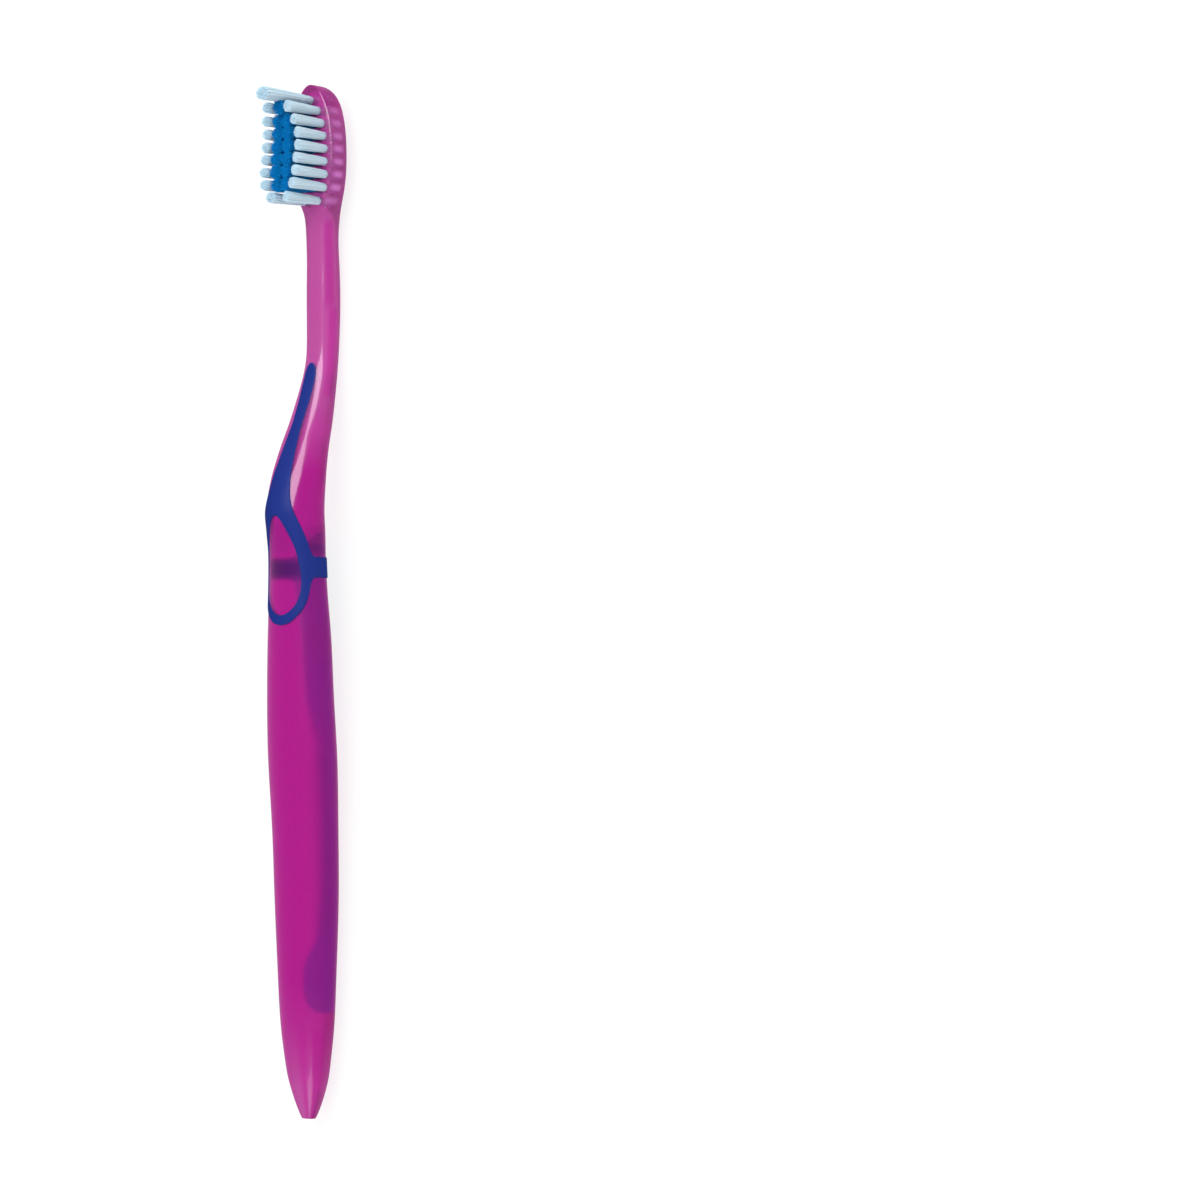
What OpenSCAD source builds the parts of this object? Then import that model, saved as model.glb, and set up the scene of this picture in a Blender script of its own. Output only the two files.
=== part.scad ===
// Manual toothbrush: a clear moulded handle with a soft grip round it, and a head full of tufts.
// It lies on its back along X with the head towards +X and the bristles towards +Z,
// and it is symmetric about the XZ plane. All lengths are in millimetres.

/* [Brush] */
// Overall length from the butt to the tip of the head
brush_length = 185; // [165:1:205]

/* [Handle] */
// Width of the handle at the palm swell
handle_w = 13.7; // [12:0.1:16]
// Thickness of the handle at the palm swell
handle_t = 10.35; // [9.5:0.05:12]
// How far the thumb belly bows towards the bristle side
bow_rise = 3.45; // [2:0.05:5]
// Width across the small flat at the butt
butt_flat_w = 2.8; // [2:0.1:4]
// Width of the neck
neck_w = 5.9; // [5:0.1:7]
// Thickness of the neck
neck_t = 5.5; // [5:0.1:6.5]
// How far the neck lies behind the butt
neck_set_back = 3.8; // [2.8:0.1:4.4]

/* [Head] */
// Length of the head from the shoulder to the tip
head_length = 23.5; // [22.5:0.5:28]
// Width of the head
head_w = 10.9; // [10.4:0.1:12]
// Thickness of the head
head_t = 5; // [4.6:0.1:5.6]
// How far the bristle face lies behind the butt
face_set_back = 0.25; // [0:0.05:1]

/* [Tufts] */
// Diameter of a tuft hole
hole_d = 1.6; // [1.3:0.05:1.7]
// Depth of a tuft hole
hole_depth = 2.9; // [2.2:0.1:3.2]
// Distance from one cross row of tufts to the next
row_pitch = 2.28; // [2.15:0.01:2.4]
// Distance from the tip of the head to the single tuft there
tip_margin = 2.6; // [2.3:0.1:3]
// Distance from the middle of the head to an outer tuft
outer_row_y = 3.7; // [3.6:0.05:3.9]
// Height of the tall tuft at the tip above the bristle face
tuft_h = 12.3; // [10:0.1:13]
// How much wider than its length along the brush that tuft is
tip_oval = 1.35; // [1:0.05:1.5]
// Width of one strand across its corners
strand_d = 0.26; // [0.18:0.01:0.3]
// Gap all round the root of a tuft in its hole
root_fit = 0.03; // [0.02:0.01:0.06]
// Thickness of the wire plate that pins a tuft
anchor_t = 0.22; // [0.15:0.01:0.3]
// Height of that plate
anchor_h = 1.1; // [0.8:0.1:1.3]
// Gap round the plate in the fold of its tuft
anchor_fit = 0.03; // [0.02:0.01:0.05]

/* [Grip] */
// Depth of the recess that the soft grip fills
grip_depth = 1.3; // [1:0.1:1.6]
// How far the soft grip stands proud of the handle
grip_proud = 0.15; // [0.1:0.05:0.4]
// Gap between the soft grip and its recess
grip_fit = 0.05; // [0.03:0.01:0.1]
// Width of the band that wraps round the handle
band_w = 3.7; // [3:0.1:5]

/* [Hidden] */
// Tufts by cross row from the tip of the head. Each row of a table holds the number of the cross
// row, the offset as a share of the outer row's, the height as a share of the tallest tuft's, the
// width at the tips as a share of the root's, and how far the tips lean outwards as a share of hole_d.
tip_tuft_shares = [1.1, 0, 1, 1.6, 0];
tip_blue_tuft_shares = [2, 0, 0.683, 1.25, 0];
outer_tuft_shares = [
    [2, 0.54, 0.709, 1.3, 0.3],
    [3, 0.8, 0.65, 1.25, 0.27],
    [4, 0.92, 0.606, 1.25, 0.24],
    [5, 1, 0.61, 1.25, 0.14],
    [6, 1, 0.634, 1.25, 0.08],
    [7, 1, 0.659, 1.25, 0.05],
    [8, 0.89, 0.683, 1.25, 0.05],
    [9, 0.473, 0.677, 1.3, 0.12]
];
inner_tuft_shares = [
    [3, 0.257, 0.597, 1.25, 0],
    [4, 0.303, 0.597, 1.25, 0],
    [5, 0.333, 0.606, 1.25, 0],
    [6, 0.333, 0.615, 1.25, 0],
    [7, 0.325, 0.634, 1.25, 0],
    [8, 0.284, 0.623, 1.25, 0]
];
OUTER_ROWS = len(outer_tuft_shares);
INNER_ROWS = len(inner_tuft_shares);

magenta = [0.69, 0.13, 0.55];
navy = [0.16, 0.19, 0.5];
white_bristle = [0.87, 0.89, 0.94];
blue_bristle = [0.03, 0.42, 0.74];
wire_metal = [0.8, 0.74, 0.55];

// Points round one ring of the handle, and rings from one key section to the next
SIDES = 32;
RING_STEPS = 2;
// Sides of a tuft hole and of the root in it
HOLE_SIDES = 24;
// How far a cutting body runs past the surface that it cuts
overrun = 0.6;

body_length = brush_length - head_length;
// Station of the middle of the grip's band, as a share of the body length
band_place_share = 0.61;

// Key sections of the handle and neck. Each row holds the station as a share of the body length,
// the palm width share, the palm thickness share, the neck share, the bow share, the set-back share,
// and the roundness of the front and of the back, where 2 is an ellipse and more is squarer.
body_shares = [
    [0.008, 0.298, 0.299, 0, 0, 0, 2.1, 2.1],
    [0.022, 0.43, 0.432, 0, 0.01, 0, 2.1, 2.1],
    [0.044, 0.592, 0.592, 0, 0.04, 0, 2.1, 2.1],
    [0.066, 0.675, 0.677, 0, 0.07, 0, 2.1, 2.1],
    [0.105, 0.79, 0.793, 0, 0.1, 0, 2.1, 2.1],
    [0.16, 0.85, 0.85, 0, 0.13, 0, 2.15, 2.15],
    [0.243, 0.925, 0.928, 0, 0.16, 0, 2.2, 2.2],
    [0.321, 0.95, 0.955, 0, 0.26, 0, 2.2, 2.2],
    [0.398, 1, 1, 0, 0.45, 0, 2.2, 2.2],
    [0.464, 0.955, 0.972, 0, 0.61, 0, 2.2, 2.2],
    [0.531, 0.912, 0.925, 0, 0.68, 0, 2.2, 2.2],
    [0.582, 0.825, 0.863, 0, 0.77, 0, 2.2, 2.2],
    [0.6235, 0.79, 0.86, 0, 0.83, 0, 2.15, 2.15],
    [0.65, 0.775, 0.955, 0, 0.91, 0, 2.1, 2.1],
    [0.673, 0.76, 0.985, 0, 1, 0, 2.1, 2.1],
    [0.706, 0.745, 0.89, 0, 0.77, 0, 2.1, 2.1],
    [0.728, 0.72, 0.785, 0, 0.52, 0, 2.1, 2.1],
    [0.75, 0.67, 0.71, 0, 0.2, 0, 2.1, 2.1],
    [0.77, 0.614, 0.66, 0, 0, 0.13, 2.1, 2.1],
    [0.801, 0.25, 0.2, 0.68, 0, 0.52, 2.15, 2.1],
    [0.836, 0.02, 0, 0.97, 0, 0.88, 2.25, 2.15],
    [0.87, 0, 0, 1, 0, 0.98, 2.35, 2.15],
    [0.91, 0, 0, 1.03, 0, 1, 2.4, 2.15],
    [0.95, 0, 0, 0.98, 0, 0.98, 2.5, 2.2],
    [0.975, 0, 0, 0.96, 0, 0.93, 2.6, 2.2]
];

// Key sections of the shoulder and head. Each row holds the station as a share of the head length,
// the width share, the thickness share, how far the thickness is still the neck's,
// how far the place is still the neck's, and the roundness of the front and of the back.
head_shares = [
    [0, 0.58, 0, 1, 0.72, 2.6, 2.3],
    [0.09, 0.71, 0.2, 0.8, 0.46, 3.2, 2.6],
    [0.18, 0.86, 0.5, 0.5, 0.22, 4.4, 3],
    [0.28, 0.96, 0.8, 0.2, 0.06, 6.5, 3.5],
    [0.37, 0.995, 0.95, 0.05, 0, 8, 3.9],
    [0.45, 1, 1, 0, 0, 8, 4]
];

// Where the head starts to round towards its tip, and the roundness of that tip in plan and in profile
tip_start_share = 0.45;
tip_plan_power = 2.3;
tip_back_power = 8;
tip_back_root = 2.5;
// Thickness left at the very tip, as a share of the head's
tip_t_share = 0.36;
// Stations of the rings of the tip, as shares of the rounded stretch
tip_shares = [0.12, 0.24, 0.36, 0.48, 0.6, 0.7, 0.79, 0.86, 0.915, 0.955, 0.98, 0.993, 0.999];
// How much higher the head's front would rise if it were not cut off level, as a share
crown_share = 0.1;
// How far along the head that crown takes to grow, as a share of the head's length
crown_start_share = 0.25;

// A key section in real sizes: station, half width, front height, back height, roundness of both
function section(s, w, t, mid, front_round, back_round) =
    [s, w / 2, mid + t / 2, mid - t / 2, front_round, back_round];

function butt_section_at(s) = section(s, butt_flat_w, butt_flat_w * handle_t / handle_w, 0, 2, 2);
body_sections = [for (r = body_shares) section(
    r[0] * body_length,
    r[1] * handle_w + r[3] * neck_w,
    r[2] * handle_t + r[3] * neck_t,
    r[4] * bow_rise - r[5] * neck_set_back,
    r[6],
    r[7]
)];
head_mid = -face_set_back - head_t / 2;
head_sections = [for (r = head_shares) section(
    body_length + r[0] * head_length,
    r[1] * head_w,
    r[2] * head_t + r[3] * neck_t,
    r[4] * -neck_set_back + (1 - r[4]) * head_mid,
    r[5],
    r[6]
)];
key_sections = concat([butt_section_at(0)], body_sections, head_sections);

// The key section before a station, and a smooth curve through one column of the key sections
function span_before(s, i = 0) =
    i >= len(key_sections) - 2 || s < key_sections[i + 1][0] ? i : span_before(s, i + 1);
function slope(i, k) =
    let (a = key_sections[max(i - 1, 0)], b = key_sections[min(i + 1, len(key_sections) - 1)])
    (b[k] - a[k]) / (b[0] - a[0]);
function column_at(s, k) =
    let (
        i = span_before(s),
        p = key_sections[i],
        q = key_sections[i + 1],
        run = q[0] - p[0],
        f = (s - p[0]) / run
    )
    (2 * f ^ 3 - 3 * f ^ 2 + 1) * p[k] + (f ^ 3 - 2 * f ^ 2 + f) * run * slope(i, k)
        + (3 * f ^ 2 - 2 * f ^ 3) * q[k] + (f ^ 3 - f ^ 2) * run * slope(i + 1, k);
function section_at(s) = [s, for (k = [1:5]) column_at(s, k)];

// The rounded tip: the plan closes as a half superellipse while the back rises to the face
function tip_section(f) =
    let (
        last = key_sections[len(key_sections) - 1],
        start = body_length + tip_start_share * head_length,
        closing = (1 - f ^ tip_back_power) ^ (1 / tip_back_root),
        t = head_t * (tip_t_share + (1 - tip_t_share) * closing)
    )
    [
        start + f * (brush_length - start),
        head_w / 2 * sqrt(1 - f ^ tip_plan_power),
        -face_set_back,
        -face_set_back - t,
        last[4],
        last[5]
    ];

// The brush lies on the grip's pad behind its handle and on the back of its neck, so it is tilted
// and lifted until both touch the surface below
handle_rest_share = 0.243;
neck_rest_share = 0.91;
handle_rest = handle_rest_share * body_length;
neck_rest = neck_rest_share * body_length;
ring_stations = [
    for (i = [0:len(key_sections) - 2], j = [0:RING_STEPS - 1])
        key_sections[i][0] + (key_sections[i + 1][0] - key_sections[i][0]) * j / RING_STEPS
];
function outer_back(s) = column_at(s, 3) - (s < band_place_share * body_length ? grip_proud : 0);
tilt = (outer_back(handle_rest) - outer_back(neck_rest)) / (neck_rest - handle_rest);
lowest = min([for (s = ring_stations) outer_back(s) + tilt * s]);
function lift(s) = tilt * s - lowest;
function along(s) = s - brush_length / 2;

// A point of the section at an angle from the +Y side, drawn in by inset and scaled about the
// middle by swell. The head's front is crowned a little and cut off level, as its flat face.
function bend(v, power) = sign(v) * abs(v) ^ (2 / power);
function head_blend(s) = min(max((s - body_length) / (crown_start_share * head_length), 0), 1);
function section_point(sec, angle, inset = 0, swell = 1) =
    let (
        half_t = (sec[2] - sec[3]) / 2,
        mid = (sec[2] + sec[3]) / 2,
        front = sin(angle) >= 0,
        crown = front ? 1 + crown_share * head_blend(sec[0]) : 1,
        power = front ? sec[4] : sec[5],
        y = bend(cos(angle), power) * (sec[1] - inset) * swell,
        z = mid + bend(sin(angle), power) * (half_t - inset) * swell * crown,
        top = sec[0] > body_length ? -face_set_back : z
    )
    [along(sec[0]), y, min(z, top) + lift(sec[0])];
function ring(sec, inset = 0, swell = 1) =
    [for (i = [0:SIDES - 1]) section_point(sec, 360 * i / SIDES, inset, swell)];

// A closed solid through rings of as many points each, with level caps made of strips
module loft(rings) {
    n = len(rings[0]);
    m = len(rings);
    sides = [
        for (i = [0:m - 2], j = [0:n - 1])
            let (a = i * n + j, b = i * n + (j + 1) % n)
            each [[a, b + n, b], [a, a + n, b + n]]
    ];
    cap = [for (j = [0:n / 2 - 2]) each [[j, j + 1, n - 2 - j], [j, n - 2 - j, n - 1 - j]]];
    last = (m - 1) * n;
    far_cap = [for (f = cap) [last + f[0], last + f[2], last + f[1]]];
    polyhedron(points = [for (r = rings) each r], faces = concat(sides, cap, far_cap), convexity = 6);
}

// The handle's outer skin, or the skin drawn in by inset between two stations
tip_rings = [for (f = tip_shares) ring(tip_section(f))];
module whole_skin() {
    loft(concat(
        [ring(butt_section_at(-overrun))],
        [for (s = ring_stations) ring(section_at(s))],
        [ring(key_sections[len(key_sections) - 1])],
        tip_rings
    ));
}
module skin(inset, from, to) {
    loft(concat(
        [ring(section_at(from), inset)],
        [for (s = ring_stations) if (s > from + overrun && s < to - overrun) ring(section_at(s), inset)],
        [ring(section_at(to), inset)]
    ));
}

// Outlines of the soft grip on the handle. Each row holds the station as a share of the body
// length and the half angle that the outline spans there.
front_outline_shares = [
    [0.5455, 3], [0.548, 16], [0.5542, 30], [0.5635, 46], [0.5759, 58], [0.592, 67],
    [0.6006, 70], [0.6235, 70], [0.6316, 67], [0.6409, 62], [0.6533, 54], [0.6656, 45],
    [0.6749, 38], [0.6873, 31], [0.6997, 26.5], [0.7183, 22], [0.743, 18], [0.7678, 15.5],
    [0.7864, 17.5], [0.805, 20], [0.8235, 22], [0.8316, 18], [0.8359, 10], [0.8378, 3]
];
window_outline_shares = [
    [0.5567, 3], [0.5579, 9], [0.5622, 20], [0.5697, 32], [0.5789, 40], [0.5882, 44],
    [0.5975, 44.5], [0.6099, 42], [0.6254, 36.5], [0.6378, 30], [0.6502, 21], [0.6582, 14],
    [0.6632, 8], [0.6656, 3]
];
pad_outline_shares = [
    [0.1176, 3], [0.1192, 10], [0.123, 16], [0.129, 20.5], [0.138, 23], [0.15, 24], [0.162, 23.5],
    [0.172, 21.5], [0.182, 18], [0.192, 13.5], [0.203, 10.5], [0.22, 9.5], [0.2477, 9], [0.3096, 8.5],
    [0.3715, 8.7], [0.415, 10], [0.44, 12.5], [0.465, 15.5], [0.5, 17], [0.5449, 18.5], [0.582, 23.5],
    [0.61, 28.5], [0.628, 27.5], [0.638, 25], [0.6455, 20], [0.65, 12], [0.6515, 3]
];
FRONT = 90;
BACK = 270;
// Steps of a wedge across its outline, and how far in and out of the skin each wedge reaches,
// as scales of the handle's section. They differ so that no two faces lie on each other.
WEDGE_STEPS = 7;
front_reach = [0.3, 1.7];
band_reach = [0.26, 1.8];
pad_reach = [0.34, 1.6];
window_reach = [0.2, 1.9];

// A wedge of the handle's section, from its inside to well outside it, along one outline.
// A gap draws its sides in.
function gap_angle(gap) = atan(gap / (handle_t / 2));
module wedge(outline, middle, reach, gap) {
    first = outline[0][0] * body_length;
    last = outline[len(outline) - 1][0] * body_length;
    loft([
        for (r = outline)
            let (
                s = min(max(r[0] * body_length, first + gap), last - gap),
                half = r[1] - gap_angle(gap),
                sec = section_at(s)
            )
            concat(
                [for (i = [0:WEDGE_STEPS])
                    section_point(sec, middle - half + 2 * half * i / WEDGE_STEPS, 0, reach[1])],
                [for (i = [WEDGE_STEPS:-1:0])
                    section_point(sec, middle - half + 2 * half * i / WEDGE_STEPS, 0, reach[0])]
            )
    ]);
}

// All that the soft grip covers. A gap makes it smaller by that much all round.
module grip_zone(gap) {
    band_from = band_place_share * body_length - band_w / 2 + gap;
    band_to = band_place_share * body_length + band_w / 2 - gap;
    difference() {
        union() {
            wedge(front_outline_shares, FRONT, front_reach, gap);
            wedge(pad_outline_shares, BACK, pad_reach, gap);
            difference() {
                loft([for (s = [band_from, band_to]) ring(section_at(s), 0, band_reach[1])]);
                loft([
                    for (s = [band_from - overrun, band_to + overrun])
                        ring(section_at(s), 0, band_reach[0])
                ]);
            }
        }
        wedge(window_outline_shares, FRONT, window_reach, -gap);
    }
}

grip_from = pad_outline_shares[0][0] * body_length - 2 * overrun;
grip_to = front_outline_shares[len(front_outline_shares) - 1][0] * body_length + 2 * overrun;

module soft_grip() {
    color(navy)
        intersection() {
            difference() {
                skin(-grip_proud, grip_from, grip_to);
                skin(grip_depth - grip_fit, grip_from - overrun, grip_to + overrun);
            }
            grip_zone(grip_fit);
        }
}

// How much the trim slopes up towards the outside of the head
trim_slope = 0.35;
// Strands of a tuft: how many in each circle, and the circle's radius as a share of the root's
strand_circle_shares = [[1, 0], [5, 0.45], [8, 0.9]];
STRAND_SIDES = 4;
// How much of the root stands above the face as the folded filaments leave the hole
root_rise = 0.1;
// How far below the face a strand starts, so that it joins its root
strand_start = 0.5;
// How far the fold of a tuft lifts its anchor off the bottom of the hole
anchor_low = 0.5;

// Where a tuft stands: the place of the middle of its hole's bottom
function tuft_place(shares, side) =
    let (s = brush_length - tip_margin - (shares[0] - 1) * row_pitch)
    [along(s), side * shares[1] * outer_row_y, lift(s) - face_set_back - hole_depth];
tuft_places = concat(
    [tuft_place(tip_tuft_shares, 0), tuft_place(tip_blue_tuft_shares, 0)],
    [for (side = [1, -1], shares = concat(outer_tuft_shares, inner_tuft_shares)) tuft_place(shares, side)]
);

// A tuft: a root with a slot for its anchor, and its strands, trimmed higher on the outside
module tuft(shares, side, oval = 1) {
    height = shares[2] * tuft_h;
    splay = side * atan(shares[4] * hole_d / height);
    translate(tuft_place(shares, side)) scale([1, oval, 1]) {
        difference() {
            cylinder(h = hole_depth + root_rise, d = hole_d - 2 * root_fit, $fn = HOLE_SIDES);
            translate([0, 0, anchor_low + anchor_h / 2])
                cube([anchor_t + 2 * anchor_fit, hole_d, anchor_h + 2 * anchor_fit], center = true);
        }
        translate([0, 0, hole_depth]) rotate([-splay, 0, 0])
            for (circle = strand_circle_shares, i = [0:circle[0] - 1]) {
                turn = 360 * i / circle[0];
                r = circle[1] * (hole_d / 2 - strand_d / 2);
                lean = atan(r * (shares[3] - 1) / height);
                rise = height + trim_slope * side * r * sin(turn);
                rotate([0, 0, turn])
                    translate([r, 0, -strand_start])
                        rotate([0, lean, 0])
                            cylinder(h = rise + strand_start, d = strand_d, $fn = STRAND_SIDES);
            }
    }
}

module tuft_holes() {
    for (i = [0:len(tuft_places) - 1])
        translate(tuft_places[i]) scale([1, i == 0 ? tip_oval : 1, 1])
            cylinder(h = hole_depth + overrun, d = hole_d, $fn = HOLE_SIDES);
}

module butt_cut() {
    translate([along(0) - 2 * overrun, -handle_w / 2, 0])
        cube([2 * overrun, handle_w, 2 * handle_t]);
}

module handle() {
    color(magenta)
        difference() {
            whole_skin();
            butt_cut();
            difference() {
                grip_zone(0);
                skin(grip_depth, grip_from - overrun, grip_to + overrun);
            }
            tuft_holes();
        }
}

module anchor_wires() {
    color(wire_metal)
        for (i = [0:len(tuft_places) - 1])
            translate(tuft_places[i] + [0, 0, anchor_low + anchor_h / 2])
                scale([1, i == 0 ? tip_oval : 1, 1])
                    cube([anchor_t, hole_d - 2 * root_fit, anchor_h], center = true);
}

module tuft_tip() { color(white_bristle) tuft(tip_tuft_shares, 0, tip_oval); }
module tuft_tip_blue() { color(blue_bristle) tuft(tip_blue_tuft_shares, 0); }
module tuft_outer(i, side) { color(white_bristle) tuft(outer_tuft_shares[i - 1], side); }
module tuft_inner(i, side) { color(blue_bristle) tuft(inner_tuft_shares[i - 1], side); }

handle();
soft_grip();
anchor_wires();
tuft_tip();
tuft_tip_blue();
for (i = [1:OUTER_ROWS]) {
    tuft_outer(i, 1);
    tuft_outer(i, -1);
}
for (i = [1:INNER_ROWS]) {
    tuft_inner(i, 1);
    tuft_inner(i, -1);
}
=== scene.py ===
"""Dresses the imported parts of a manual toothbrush: clear handle, soft grip and filament tufts."""

import math
import random

import bmesh
import bpy
import numpy as np
from bpy.props import FloatProperty, FloatVectorProperty, IntProperty, PointerProperty
from mathutils import Matrix, Vector


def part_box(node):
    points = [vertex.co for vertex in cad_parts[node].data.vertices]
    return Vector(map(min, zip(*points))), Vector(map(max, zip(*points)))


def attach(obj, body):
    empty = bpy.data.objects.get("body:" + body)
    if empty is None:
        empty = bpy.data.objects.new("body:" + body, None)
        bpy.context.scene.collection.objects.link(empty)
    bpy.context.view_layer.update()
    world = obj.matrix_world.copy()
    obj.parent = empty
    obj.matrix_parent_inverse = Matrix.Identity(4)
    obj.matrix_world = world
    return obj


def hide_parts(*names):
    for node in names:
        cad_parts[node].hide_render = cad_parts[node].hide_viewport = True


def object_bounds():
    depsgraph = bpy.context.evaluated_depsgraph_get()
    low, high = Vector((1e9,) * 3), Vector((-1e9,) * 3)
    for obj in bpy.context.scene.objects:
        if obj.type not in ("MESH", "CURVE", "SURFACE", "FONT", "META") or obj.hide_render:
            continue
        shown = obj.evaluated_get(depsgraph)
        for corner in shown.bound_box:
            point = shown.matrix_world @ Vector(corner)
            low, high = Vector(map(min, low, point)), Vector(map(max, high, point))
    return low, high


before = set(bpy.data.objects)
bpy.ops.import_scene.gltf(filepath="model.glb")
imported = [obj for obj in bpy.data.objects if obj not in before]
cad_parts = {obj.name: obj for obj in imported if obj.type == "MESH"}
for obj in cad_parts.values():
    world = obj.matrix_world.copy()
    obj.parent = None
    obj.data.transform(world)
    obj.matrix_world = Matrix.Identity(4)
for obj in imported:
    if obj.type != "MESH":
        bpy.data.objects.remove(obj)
CAD_LOW, CAD_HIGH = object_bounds()

bl_info = {
    "name": "Manual Toothbrush",
    "version": (1, 0, 0),
    "blender": (4, 5, 0),
    "location": "View3D > Sidebar > Toothbrush",
    "description": "Clear handle, soft grip and filament tufts of a manual toothbrush",
    "category": "Add Mesh",
}

MM = 0.001
ROOT = "root"
BRUSH_LENGTH = CAD_HIGH.x - CAD_LOW.x
HANDLE_LOW, HANDLE_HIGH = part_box("handle")
HANDLE_W = HANDLE_HIGH.y - HANDLE_LOW.y

# Key sections of the handle and neck. Each row holds the station as a share of the body length, the
# palm width share, the palm thickness share, the neck share, the bow share, the set-back share, and
# the roundness of the front and of the back, where 2 is an ellipse and more is squarer.
BODY_SHARES = (
    (0.008, 0.298, 0.299, 0, 0, 0, 2.1, 2.1),
    (0.022, 0.43, 0.432, 0, 0.01, 0, 2.1, 2.1),
    (0.044, 0.592, 0.592, 0, 0.04, 0, 2.1, 2.1),
    (0.066, 0.675, 0.677, 0, 0.07, 0, 2.1, 2.1),
    (0.105, 0.79, 0.793, 0, 0.1, 0, 2.1, 2.1),
    (0.16, 0.85, 0.85, 0, 0.13, 0, 2.15, 2.15),
    (0.243, 0.925, 0.928, 0, 0.16, 0, 2.2, 2.2),
    (0.321, 0.95, 0.955, 0, 0.26, 0, 2.2, 2.2),
    (0.398, 1, 1, 0, 0.45, 0, 2.2, 2.2),
    (0.464, 0.955, 0.972, 0, 0.61, 0, 2.2, 2.2),
    (0.531, 0.912, 0.925, 0, 0.68, 0, 2.2, 2.2),
    (0.582, 0.825, 0.863, 0, 0.77, 0, 2.2, 2.2),
    (0.6235, 0.79, 0.86, 0, 0.83, 0, 2.15, 2.15),
    (0.65, 0.775, 0.955, 0, 0.91, 0, 2.1, 2.1),
    (0.673, 0.76, 0.985, 0, 1, 0, 2.1, 2.1),
    (0.706, 0.745, 0.89, 0, 0.77, 0, 2.1, 2.1),
    (0.728, 0.72, 0.785, 0, 0.52, 0, 2.1, 2.1),
    (0.75, 0.67, 0.71, 0, 0.2, 0, 2.1, 2.1),
    (0.77, 0.614, 0.66, 0, 0, 0.13, 2.1, 2.1),
    (0.801, 0.25, 0.2, 0.68, 0, 0.52, 2.15, 2.1),
    (0.836, 0.02, 0, 0.97, 0, 0.88, 2.25, 2.15),
    (0.87, 0, 0, 1, 0, 0.98, 2.35, 2.15),
    (0.91, 0, 0, 1.03, 0, 1, 2.4, 2.15),
    (0.95, 0, 0, 0.98, 0, 0.98, 2.5, 2.2),
    (0.975, 0, 0, 0.96, 0, 0.93, 2.6, 2.2),
)
# Key sections of the shoulder and head: station as a share of the head length, width share,
# thickness share, how far the thickness and then the place are still the neck's, and both roundnesses
HEAD_SHARES = (
    (0, 0.58, 0, 1, 0.72, 2.6, 2.3),
    (0.09, 0.71, 0.2, 0.8, 0.46, 3.2, 2.6),
    (0.18, 0.86, 0.5, 0.5, 0.22, 4.4, 3),
    (0.28, 0.96, 0.8, 0.2, 0.06, 6.5, 3.5),
    (0.37, 0.995, 0.95, 0.05, 0, 8, 3.9),
    (0.45, 1, 1, 0, 0, 8, 4),
)
# The rounded tip of the head: where it starts, its roundness in plan and in profile, the thickness
# left at its end, and the stations of its rings
TIP_START_SHARE = 0.45
TIP_PLAN_POWER = 2.3
TIP_BACK_POWER = 8
TIP_BACK_ROOT = 2.5
TIP_T_SHARE = 0.36
TIP_SHARES = (0.12, 0.24, 0.36, 0.48, 0.6, 0.7, 0.79, 0.86, 0.915, 0.955, 0.98, 0.993, 0.999)

# Outlines of the soft grip: station as a share of the body length, and half angle in degrees
FRONT_OUTLINE = (
    (0.5455, 3), (0.548, 16), (0.5542, 30), (0.5635, 46), (0.5759, 58), (0.592, 67), (0.6006, 70),
    (0.6235, 70), (0.6316, 67), (0.6409, 62), (0.6533, 54), (0.6656, 45), (0.6749, 38), (0.6873, 31),
    (0.6997, 26.5), (0.7183, 22), (0.743, 18), (0.7678, 15.5), (0.7864, 17.5), (0.805, 20),
    (0.8235, 22), (0.8316, 18), (0.8359, 10), (0.8378, 3),
)
WINDOW_OUTLINE = (
    (0.5567, 3), (0.5579, 9), (0.5622, 20), (0.5697, 32), (0.5789, 40), (0.5882, 44), (0.5975, 44.5),
    (0.6099, 42), (0.6254, 36.5), (0.6378, 30), (0.6502, 21), (0.6582, 14), (0.6632, 8), (0.6656, 3),
)
PAD_OUTLINE = (
    (0.1176, 3), (0.1192, 10), (0.123, 16), (0.129, 20.5), (0.138, 23), (0.15, 24), (0.162, 23.5),
    (0.172, 21.5), (0.182, 18), (0.192, 13.5), (0.203, 10.5), (0.22, 9.5), (0.2477, 9), (0.3096, 8.5),
    (0.3715, 8.7), (0.415, 10), (0.44, 12.5), (0.465, 15.5), (0.5, 17), (0.5449, 18.5), (0.582, 23.5),
    (0.61, 28.5), (0.628, 27.5), (0.638, 25), (0.6455, 20), (0.65, 12), (0.6515, 3),
)
# Angle of the front of a section, in degrees from the +Y side
FRONT = 90
# Stations of the middle of the band and of the two places on which the brush lies, as shares of the
# body length
BAND_PLACE_SHARE = 0.61
HANDLE_REST_SHARE = 0.243
NECK_REST_SHARE = 0.91


def number_prop(name, description, default, **more):
    return FloatProperty(name=name, description=description, default=default, **more)


def length_prop(name, description, default):
    return number_prop(name, description, default, unit="LENGTH")


def colour_prop(name, description, default):
    return FloatVectorProperty(
        name=name, description=description, default=default, subtype="COLOR", min=0, max=1)


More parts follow.
